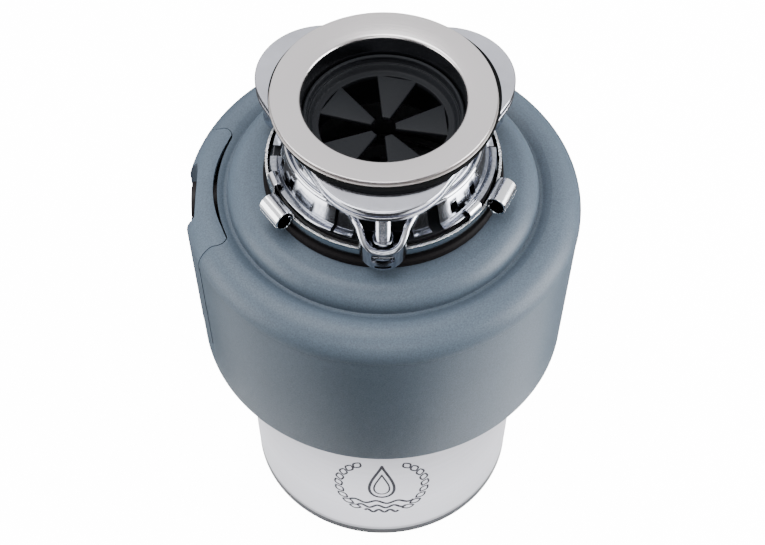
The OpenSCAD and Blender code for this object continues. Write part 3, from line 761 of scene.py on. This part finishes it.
def saddle_floor():
    """Base of a saddle with its screw boss."""
    path = [(50.5, 9.5, 0), (56.2, 10.6, 0), (60.4, 10.4, 0), (63.9, 9.4, 0), (66.4, 7.6, 0),
            (67.4, 5.4, 0), (67.6, 2.7, 0), (67.6, 0, 0)]
    floor = prism(curve_through(mirrored(path), 4), TOP - 47.5, TOP - 46.0, 0.3)
    low, high = TOP - 47.4, TOP - 36.4
    boss = rounded([(5.4, low, 0), (5.4, high, 1.3), (3.96, high, 0.5), (3.96, low, 0)], 5)
    return [floor, moved(revolve(boss, steps=48), shift=(SCREW_R, 0, 0))]


def ramp():
    """Sloping skirt and its flange, from -58 to +3 degrees."""
    a0, a1 = -58, 3
    middle = (a0 + a1) / 2

    def rise(a):
        return -0.95 * (a - middle) / (a0 - middle) if a < middle else 0.95 * (a - middle) / (a1 - middle)

    line = rounded([(50.3, RIM_Z - 1.2, 0), (53.4, RAMP_Z + 1.2, 0), (53.9, RAMP_Z, 2.2), (58.0, RAMP_Z, 0)],
                   6, closed=False)
    section = thick_strip(line, 0.62)
    return revolve(section, a0, a1, 60, rise)


def tab(side):
    """Short piece of skirt beside a saddle."""
    line = rounded([(50.6, RAMP_Z + 8.5, 0), (52.9, RAMP_Z + 1.2, 0), (53.3, RAMP_Z, 2.0), (57.0, RAMP_Z, 0)],
                   6, closed=False)
    first, last = sorted((side * 15.8, side * 25.4))
    return revolve(thick_strip(line, 0.6), first, last, 10)


def upper_ring():
    """Collar with round windows, notched ramps and slotted saddles as one piece."""
    body = solid(ring_body(), "upper_ring_body")
    windows = []
    for a in LOBES:
        for w in (38, 62, 84):
            bar = prism([polar(2.6, 15 * k) for k in range(24)], 38, 56)
            windows.append(moved(bar, turn=a + w, shift=(0, 0, TOP - 24), tilt=(0, 90, 0)))
    cut(body, windows)
    tabs = [moved(tab(side), turn=a) for a in LOBES for side in (-1, 1)]
    ramps = solid(joined([moved(ramp(), turn=a + 90) for a in LOBES] + tabs), "ramps")
    notches = []
    for a in LOBES:
        for n, half in ((42.5, 2.3), (58.5, 2.0)):
            box = box_shape((50.4, -half, RAMP_Z + 1.3), (56.2, half, RAMP_Z + 7.5), 0.8, 3)
            notches.append(moved(box, turn=a + n))
    cut(ramps, notches)
    saddles = solid(joined([moved(saddle(), turn=a) for a in LOBES]), "saddles")
    slots = []
    for a in LOBES:
        for z0, z1, half in ((TOP - 46.2, TOP - 41.8, 5.8), (TOP - 49.6, TOP - 48.2, 4.2)):
            slots.append(moved(box_shape((66, -half, z0), (75, half, z1), 1.2, 3, 0.3), turn=a))
    cut(saddles, slots)
    floors = solid(joined([moved(part, turn=a) for a in LOBES for part in saddle_floor()]), "floors")
    bpy.ops.object.select_all(action="DESELECT")
    for o in (body, ramps, saddles, floors):
        o.select_set(True)
    bpy.context.view_layer.objects.active = body
    bpy.ops.object.join()
    finish_piece(body, "upper_ring_visual", chrome, "housing", ("upper_mounting_ring",), 38)


upper_ring()


# ---------- mounting screws ----------

def thread(r, z0, z1, pitch, depth):
    """Turned outline of a screw with its thread as fine ridges."""
    pts = [(0.01, z0), (r - depth, z0)]
    z = z0
    while z < z1 - pitch:
        pts += [(r - depth, z + 0.1 * pitch), (r, z + 0.45 * pitch),
                (r, z + 0.6 * pitch), (r - depth, z + 0.95 * pitch)]
        z += pitch
    return pts + [(r, z1)]


def screws():
    """Three threaded screws, each with the visible edge of its head."""
    parts = []
    for a in LOBES:
        shaft = thread(3.88, 264.55, 301.6, 1.25, 0.28) + [(3.7, 301.6), (2.2, 304.2), (0.01, 304.3)]
        parts.append(moved(revolve(shaft, steps=40), turn=a, shift=(SCREW_R, 0, 0)))
        head = [polar(5.5, 10 * k) for k in range(-6, 7)]
        parts.append(moved(prism(head, 262.2, 264.5, 0.4), turn=a, shift=(SCREW_R, 0, 0)))
    make("mounting_screws_visual", parts, chrome_soft, replaced=("mounting_screws",))


screws()


# ---------- lower mounting ring ----------

def lug_shape():
    """A strip that rises off the band, rolls outwards and down and curls in again."""
    c = (65.9, BAND_TOP + 1.4)
    line = [(60.85, BAND_TOP - 1.5), (60.8, BAND_TOP)]
    for k in range(41):
        f = k / 40
        a = 180 - 410 * f
        late = max(0, (f - 0.62) / 0.38)
        p = polar(5.1 - 2.3 * late, a)
        line.append((c[0] + p[0], c[1] + p[1] * (1.09 - 0.09 * late)))
    return extrude_strip(line, 0.52, 15.4)


def hook_shape():
    """A narrow strip that rises off the band and rolls inwards."""
    c = (58.6, BAND_TOP + 3.9)
    line = [(60.85, BAND_TOP - 1.5), (60.9, BAND_TOP + 1.5)]
    for k in range(15):
        p = polar(2.3, -12 + 200 * k / 14)
        line.append((c[0] + p[0], c[1] + p[1]))
    return extrude_strip(line, 0.56, 9)


def extrude_strip(line, half, width):
    """Sheet bent along a line in the radial plane, as wide as width across it, with softened edges."""
    w, soft = width / 2, 0.2
    pts = [Vector(p[:2]) for p in line]
    sections = []
    for i, p in enumerate(pts):
        t = (pts[min(i + 1, len(pts) - 1)] - pts[max(i - 1, 0)]).normalized()
        side = Vector((-t.y, t.x))
        loop = []
        for y, h in ((soft - w, half), (w - soft, half), (w, half - soft), (w, soft - half),
                     (w - soft, -half), (soft - w, -half), (-w, soft - half), (-w, half - soft)):
            loop.append((p.x + side.x * h, y, p.y + side.y * h))
        sections.append(loop)
    return loft(sections)


def band():
    """The band with a sheared, slightly uneven top edge, and its flange below."""
    profile = rounded([
        (61.5, BAND_TOP, 0.25), (61.5, BAND_TOP - 6.6, 0.9), (51.06, BAND_TOP - 6.6, 0.3),
        (51.06, BAND_TOP - 5.1, 0.3), (60.0, BAND_TOP - 5.1, 0.8), (60.0, BAND_TOP, 0.25)], 4)
    verts, faces = revolve(profile, steps=512)
    shaken = []
    for x, y, z in verts:
        if z > BAND_TOP - 0.5:
            a = math.atan2(y, x)
            w = (math.sin(97 * a) + math.sin(173 * a + 1.3) + math.sin(251 * a + 0.4)) / 3
            v = (math.sin(131 * a + 2.0) + math.sin(211 * a)) / 2
            z += -0.14 + 0.13 * w
            k = 1 + 0.0008 * v
            x, y = x * k, y * k
        shaken.append((x, y, z))
    return shaken, faces


parts = [band()]
for i in range(3):
    parts.append(moved(lug_shape(), turn=-24.5 + 120 * i))
    parts.append(moved(hook_shape(), turn=-40 + 120 * i))
make("lower_ring_visual", parts, zinc, body="lower_ring", replaced=("lower_mounting_ring",))


# ---------- cushion ----------

def cushion_outline(a):
    """The cushion is squeezed out a little further at the front."""
    r = 62.8 - 1.1 * math.sin(math.radians(a))
    return rounded([(r, COVER_Z + 0.04, 0.3), (r, 255.6, 0.7), (r - 1.1, 256.98, 0.5), (51.6, 256.98, 0.4),
                    (51.6, COVER_Z + 0.04, 0.2)], 4)


make("cushion_visual", turned(cushion_outline), cushion_rubber,
     replaced=("cushion_gasket",))


# ---------- splash guard ----------

def guard_body():
    """Rubber tube of the guard with its rim and flange."""
    disc = TOP - 22.5
    return revolve(rounded([
        (57, 264, 0.4), (57, 261.12, 0.4), (39.85, 261.12, 0.4), (39.85, disc - 3.3, 0.8),
        (33, disc - 2.5, 0.3), (33, disc, 0.5), (36.2, disc + 0.2, 1.2), (37.0, disc + 2.2, 0.6),
        (37.9, disc + 4.1, 0.9), (38.9, disc + 3.4, 0.8), (39.3, TOP - 16.6, 0.8), (39.0, TOP - 14.9, 0.8),
        (40.3, TOP - 14.0, 0.9), (41.14, TOP - 15.2, 0.6), (41.14, 264, 0.8)], 5), steps=224)


def guard_flap():
    """One flap along +X, from the disc to the hole in the middle."""
    disc, drop, thick, half, hub = TOP - 22.5, 2.0, 2.2, 18.4, 6.4
    sections = []
    for r in (hub, 6.55, 7.0, 8, 10, 13, 17, 21, 25, 29, 31.5, 33.4):
        f = (r - hub) / (33 - hub)
        top = disc - drop * (1 - min(f, 1))
        shrink = 0.35 if r < 6.5 else 0.12 if r < 6.6 else 0.0
        wide = math.radians(half) * r
        loop = rounded([(-wide, top - thick + shrink, 0.5), (wide, top - thick + shrink, 0.5),
                        (wide, top - shrink, 0.55), (-wide, top - shrink, 0.55)], 3)
        sections.append([(r * math.cos(s / r), r * math.sin(s / r), z) for s, z in loop])
    return loft(sections)


make("splash_guard_visual", [guard_body()] + [moved(guard_flap(), turn=77.5 + 72 * i) for i in range(5)],
     guard_rubber, replaced=("splash_guard",))


# ---------- plastic shell ----------

def panel_side(grow, half):
    """Half the plan of the opening for the trim panel, widened by grow."""
    inner, corner_r = PANEL_EDGE_R, 5.0
    cx = -math.sqrt((inner + corner_r) ** 2 - (half - corner_r) ** 2)
    cy = half - corner_r
    lean = math.degrees(math.atan2(cy, -cx))
    flare, bend_r = 25, 6.0
    pts = (arc((0, 0), inner - grow, 180, 180 - lean, 24) + arc((cx, cy), corner_r + grow, -lean, 90, 12)
           + arc((cx - 1, half + bend_r), bend_r - grow, 270, 270 - flare, 6))
    far, (x, y, _) = -130, pts[-1]
    return [p[:2] for p in pts] + [(far, y + (x - far) * math.tan(math.radians(flare)))]


def panel_plan(grow):
    """The whole plan, whose back half is a little shorter than its front half."""
    front = [(x, -y) for x, y in panel_side(grow, 41.0)]
    return panel_side(grow, 38.6) + front[:0:-1]


def side_drum(r, z):
    """Bar of radius r along -X at the height z, to cut a hole in the side."""
    disc = [polar(r, 360 * k / 64) for k in range(64)]
    return moved(prism(disc, 90, 120), shift=(0, 0, z), tilt=(0, -90, 0))


shoulder = [(82.47, 238.66, 2.2), (84.6, 238.6, 2.2)] + arc(SHOULDER_C, SHOULDER_R, 102, 0, 40)


def top_cover():
    """Cover with a raised ring and a rounded shoulder, and a lip that enters the shell."""
    obj = solid(revolve(rounded(
        [(52.52, COVER_Z, 0.5), (62.5, COVER_Z, 4.0)] + arc(BEAD_C, BEAD_R, 88, 2, 32) + shoulder
        + [(SHELL_R, SEAM_Z + 0.02, 0.5), (SHELL_R - 3.3, SEAM_Z + 0.02, 0), (SHELL_R - 3.9, SEAM_Z - 7, 0),
           (SHELL_R - 5.3, SEAM_Z - 7, 0), (SHELL_R - 4.7, 227.4, 0)]
        + arc(SHOULDER_C, 9.6, 0, 102, 12) + [(83, 235.3, 0), (80.2, 236.1, 0)] + arc(BEAD_C, 9, 0, 90, 10)
        + [(64, 249.5, 0), (52.52, 249.5, 0)], 6), steps=288))
    cut(obj, [prism(panel_plan(0.5), 150, 360)])
    bevel(obj, 0.35)
    finish_piece(obj, "top_cover_visual", shell_plastic, "housing", ("top_cover",), 40)


def side_shell():
    """Wall that narrows downwards and turns in to the can."""
    top, floor_top, hole = SEAM_Z - 0.3, SHELL_LOW + SHELL_T, CAN_R + 1.9
    obj = solid(revolve(rounded(
        [(SHELL_R - 0.3, top, 0.45), (SHELL_LOW_R, SHELL_LOW, 2.0), (hole, SHELL_LOW, 0.5),
         (hole, floor_top, 0.3), (SHELL_LOW_R - SHELL_T, floor_top, 1.0),
         (SHELL_R - 0.3 - SHELL_T, top, 0.3)], 6), steps=288))
    cut(obj, [prism(panel_plan(0.5), PANEL_LOW - 0.05, 360), side_drum(20.4, OUTLET_Z)])
    bevel(obj, 0.3)
    finish_piece(obj, "side_shell_visual", shell_plastic, "housing", ("side_shell",), 40)


def panel_face(z):
    """Radius of the panel's outer face, which narrows downwards with the shell."""
    return PANEL_LOW_R + (SHELL_R - PANEL_LOW_R) * (z - PANEL_LOW) / (SHOULDER_C[1] - PANEL_LOW)


def trim_panel():
    """Side panel with the inlet's recess, the outlet's hole and a crescent gap along its edge."""
    skin = solid(revolve(rounded(
        arc(SHOULDER_C, SHOULDER_R, 102, 0, 40)
        + [(PANEL_LOW_R, PANEL_LOW, 2.0), (PANEL_LOW_R - SHELL_T, PANEL_LOW, 0)]
        + arc(SHOULDER_C, 11, 0, 102, 24), 6), 140, 220, 120))
    cut(skin, [prism(panel_plan(0), 150, 360)], "INTERSECT")
    core = solid(revolve(rounded(
        [(60, 202, 0), (panel_face(202) - 0.02, 202, 0)] + arc(SHOULDER_C, SHOULDER_R - 0.02, 0, 102, 30)
        + [(60, 227.4, 0)], 4), 150, 210, 90))
    cut(core, [box_shape((-SHELL_R, -23, 202), (-96.6, 19, 244), 0)], "INTERSECT")
    cut(core, [prism(panel_plan(0.02), 150, 360)], "INTERSECT")
    cut(skin, [core], "UNION")
    crescent = arc((70.1 - PANEL_EDGE_R, 0), 71.8, 0, 358, 179)
    cut(skin, [
        box_shape((-120, -21, 204), (-99, 17, 262), 1.5),
        side_drum(11.6, INLET_Z),
        side_drum(21.4, OUTLET_Z),
        prism(crescent, 150, 360)])
    bevel(skin, 0.4)
    finish_piece(skin, "trim_panel_visual", panel_plastic, "housing", ("trim_panel",),
                 40)


top_cover()
side_shell()
trim_panel()


# ---------- dishwasher inlet ----------

def inlet():
    """Black nipple with rings for the hose and a thick collar."""
    line = [(8, -69, 0.3), (11, -69, 0.3), (11, -73.5, 0.2),
            (14, -73.5, 0.3), (14, -76.5, 0.3), (11, -76.5, 0.3)]
    for x in (-84, -88.5, -93):
        line += [(10.4, x + 0.2, 0.2), (11, x - 3.2, 0.25), (10.4, x - 3.3, 0.1)]
    line += [(11, -97, 0.3), (11, -101.95, 0.5), (8, -101.95, 0.5)]
    shape = revolve(rounded(line, 3), steps=64)
    return [([(z, y, INLET_Z + x) for x, y, z in shape[0]], shape[1])]


make("dishwasher_inlet_visual", inlet(), black_plastic,
     replaced=("dishwasher_inlet",), angle=40)


# ---------- motor can and its engraving ----------

def can_radius(z):
    """The can widens a little from its lower rim up into the shell."""
    return CAN_R + CAN_FLARE * (1 - math.exp(-max(0, z - CAN_LOW) / 25))


can_levels = [CAN_LOW + (CAN_TOP - CAN_LOW) * k / 16 for k in range(17)]
make("motor_can_visual", revolve(
    [(can_radius(z), z) for z in can_levels] + [(can_radius(z) - 1, z) for z in can_levels[::-1]], steps=256),
    can_metal, replaced=("motor_can",))


def on_can(s, z, lift):
    """Point on the can at s round it from the front, at the height z."""
    a = s / CAN_R
    r = can_radius(z) + lift
    return (r * math.sin(a), -r * math.cos(a), z)


def ribbon(points, width):
    """A thin line of engraving laid on the can along (s, z) points."""
    pts = [Vector(p) for p in points]
    left, right = [], []
    closed = (pts[0] - pts[-1]).length < 1e-6
    n = len(pts)
    for i, p in enumerate(pts):
        a = pts[i - 1] if i > 0 else (pts[-2] if closed else pts[0])
        b = pts[i + 1] if i < n - 1 else (pts[1] if closed else pts[-1])
        t = (b - a).normalized()
        side = Vector((-t.y, t.x)) * width / 2
        left.append(p + side)
        right.append(p - side)
    return loft([[on_can(*l, 0.015), on_can(*r, 0.015), on_can(*r, -0.05), on_can(*l, -0.05)]
                 for l, r in zip(left, right)])


def leaf(c, side, lean):
    """Closed outline of a pointed stroke round the middle c, leaning by an angle in radians."""
    out = []
    for j in range(25):
        u = 7 * (1 - abs(1 - j / 12)) - 3.5
        w = 2.2 * math.sin(math.pi * j / 12)
        out.append((c[0] + side * (u * math.cos(lean) - w * math.sin(lean)),
                    c[1] + u * math.sin(lean) + w * math.cos(lean)))
    return out


def emblem():
    """A water drop over three waves inside a wreath of short strokes."""
    mid = 57.0
    parts = []
    drop = []
    for k in range(61):
        t = k / 60 * 2 * math.pi
        drop.append((10.5 * math.sin(t) * math.sin(t / 2) ** 1.6, mid + 7 + 18 * math.cos(t)))
    parts.append(ribbon(drop, 1.7))
    inner = [(x * 0.62, mid + 4 + (z - mid - 7) * 0.62) for x, z in drop]
    parts.append(ribbon(inner, 1.1))
    for row in range(3):
        z0 = mid - 17 - 5.4 * row
        span = 19 - 4.5 * row
        wave = [(-span + 2 * span * k / 48, z0 + 1.5 * math.sin(2 * math.pi * k / 16)) for k in range(49)]
        parts.append(ribbon(wave, 1.9))
    for side in (-1, 1):
        for k in range(9):
            a = math.radians(-52 + 13.5 * k)
            c = (side * 25.5 * math.cos(a), mid - 1 + 30 * math.sin(a))
            parts.append(ribbon(leaf(c, side, a + math.radians(62)), 1.2))
    return parts


make("can_engraving", emblem(), engraving)


# ---------- floor, light, camera ----------

def glowing(name, profile, color, shine, glow, tone):
    """A turned stage piece that glows and casts no light or shadow on the object."""
    p = Paint(name, color, 0.7, Specular_IOR_Level=shine)
    p.b.inputs["Emission Color"].default_value = (*tone, 1)
    p.b.inputs["Emission Strength"].default_value = glow
    obj = solid(revolve(profile, steps=96), name)
    obj.data.materials.append(p.m)
    obj.visible_shadow = False
    obj.visible_diffuse = False
    return obj


def floor():
    """The pale floor that only the camera sees, with a round wall far away."""
    far, high, z = 2600, 3000, -0.3
    profile = [(0.01, z), (far, z), (far, high), (far + 10, high), (far + 10, -10), (0.01, -10)]
    obj = glowing("studio_floor", profile, (0.86, 0.86, 0.86), 0.2, 14.0, (1, 1, 1))
    smooth(obj, 60)
    obj.visible_glossy = False


def glow_patch():
    """Bright ground near the can, which only reflections show."""
    profile = [(0.01, -0.2), (140, -0.2), (140, -0.26), (0.01, -0.26)]
    obj = glowing("glow_patch", profile, (0.8, 0.8, 0.8), 0.5, 0.85, (0.97, 0.97, 1))
    obj.visible_camera = False


def area(name, place, aim, size, power, size_y=None, gloss_only=False):
    """Soft rectangular light; gloss_only shows it in reflections and lights nothing else."""
    data = bpy.data.lights.new(name, "AREA")
    data.shape = "RECTANGLE"
    data.size = size
    data.size_y = size_y or size
    data.energy = power
    obj = bpy.data.objects.new(name, data)
    bpy.context.scene.collection.objects.link(obj)
    obj.location = place
    obj.rotation_euler = (Vector(aim) - Vector(place)).to_track_quat("-Z", "Y").to_euler()
    obj.visible_diffuse = not gloss_only


def world():
    """Room light: dark below the horizon, palest well above it."""
    w = bpy.data.worlds.new("studio")
    bpy.context.scene.world = w
    w.use_nodes = True
    t = w.node_tree
    coords = t.nodes.new("ShaderNodeTexCoord")
    split = t.nodes.new("ShaderNodeSeparateXYZ")
    span = t.nodes.new("ShaderNodeMapRange")
    ramp_ = t.nodes.new("ShaderNodeValToRGB")
    t.links.new(coords.outputs["Generated"], split.inputs[0])
    t.links.new(split.outputs["Z"], span.inputs["Value"])
    span.inputs["From Min"].default_value = -1
    span.inputs["From Max"].default_value = 1
    t.links.new(span.outputs["Result"], ramp_.inputs["Fac"])
    stops = [(0.0, 0.10), (0.46, 0.08), (0.52, 0.12), (0.58, 0.38), (0.68, 0.92),
             (0.80, 1.06), (0.88, 1.02), (0.97, 0.8), (1.0, 0.75)]
    e = ramp_.color_ramp.elements
    while len(e) < len(stops):
        e.new(0.5)
    for slot_, (pos, v) in zip(e, stops):
        slot_.position = pos
        slot_.color = (v, v, v * 1.02, 1)
    # The side that the camera looks from is darker than the rest of the room
    front = t.nodes.new("ShaderNodeMapRange")
    t.links.new(split.outputs["Y"], front.inputs["Value"])
    front.inputs["From Min"].default_value = -0.95
    front.inputs["From Max"].default_value = -0.05
    front.inputs["To Min"].default_value = 0.07
    front.inputs["To Max"].default_value = 1.0
    background = t.nodes["Background"]
    shade = t.nodes.new("ShaderNodeMix")
    shade.data_type = "RGBA"
    shade.blend_type = "MULTIPLY"
    shade.inputs["Factor"].default_value = 1.0
    t.links.new(ramp_.outputs["Color"], shade.inputs["A"])
    t.links.new(front.outputs["Result"], shade.inputs["B"])
    t.links.new(shade.outputs["Result"], background.inputs["Color"])
    background.inputs["Strength"].default_value = 1.15


def camera():
    """Looks down on the sink flange from the front, a little rolled."""
    distance, rise, pitch, yaw, roll_angle = 0.9, 47.77, 53.44, 0.009, 0.28
    data = bpy.data.cameras.new("camera")
    data.lens = 84.7
    data.sensor_width = 36
    data.clip_start = 0.05
    data.clip_end = 50
    cam = bpy.data.objects.new("camera", data)
    bpy.context.scene.collection.objects.link(cam)
    up = math.radians(rise)
    cam.location = Vector((0, 0, TOP * MM)) + distance * Vector((0, -math.cos(up), math.sin(up)))
    tilt = Euler((math.radians(90 - pitch), 0, 0)).to_matrix().to_4x4()
    nudge = Euler((0, math.radians(yaw), 0)).to_matrix().to_4x4()
    roll = Matrix.Rotation(math.radians(roll_angle), 4, "Z")
    cam.rotation_mode = "QUATERNION"
    cam.rotation_quaternion = (tilt @ nudge @ roll).to_quaternion()
    bpy.context.scene.camera = cam


floor()
world()
glow_patch()
area("key_top", (-0.3, 0.0, 1.35), (0, 0, 0.2), 0.9, 11)
area("side_left", (-1.25, -0.35, 0.32), (0, 0, 0.2), 0.9, 14, size_y=1.0)
area("side_right", (1.25, -0.2, 0.36), (0, 0, 0.2), 0.9, 32, size_y=1.0)
area("below_left", (-0.85, -0.3, -0.8), (0, 0, 0.1), 1.1, 6, size_y=1.3, gloss_only=True)
area("below_right", (0.85, -0.3, -0.8), (0, 0, 0.1), 1.1, 11, size_y=1.3, gloss_only=True)
area("front_low", (0.0, -1.25, 0.25), (0, 0, 0.26), 1.2, 2.5, size_y=0.4, gloss_only=True)
area("front_high", (0.0, -1.15, 0.95), (0, 0, 0.28), 0.9, 5, size_y=0.25, gloss_only=True)
camera()
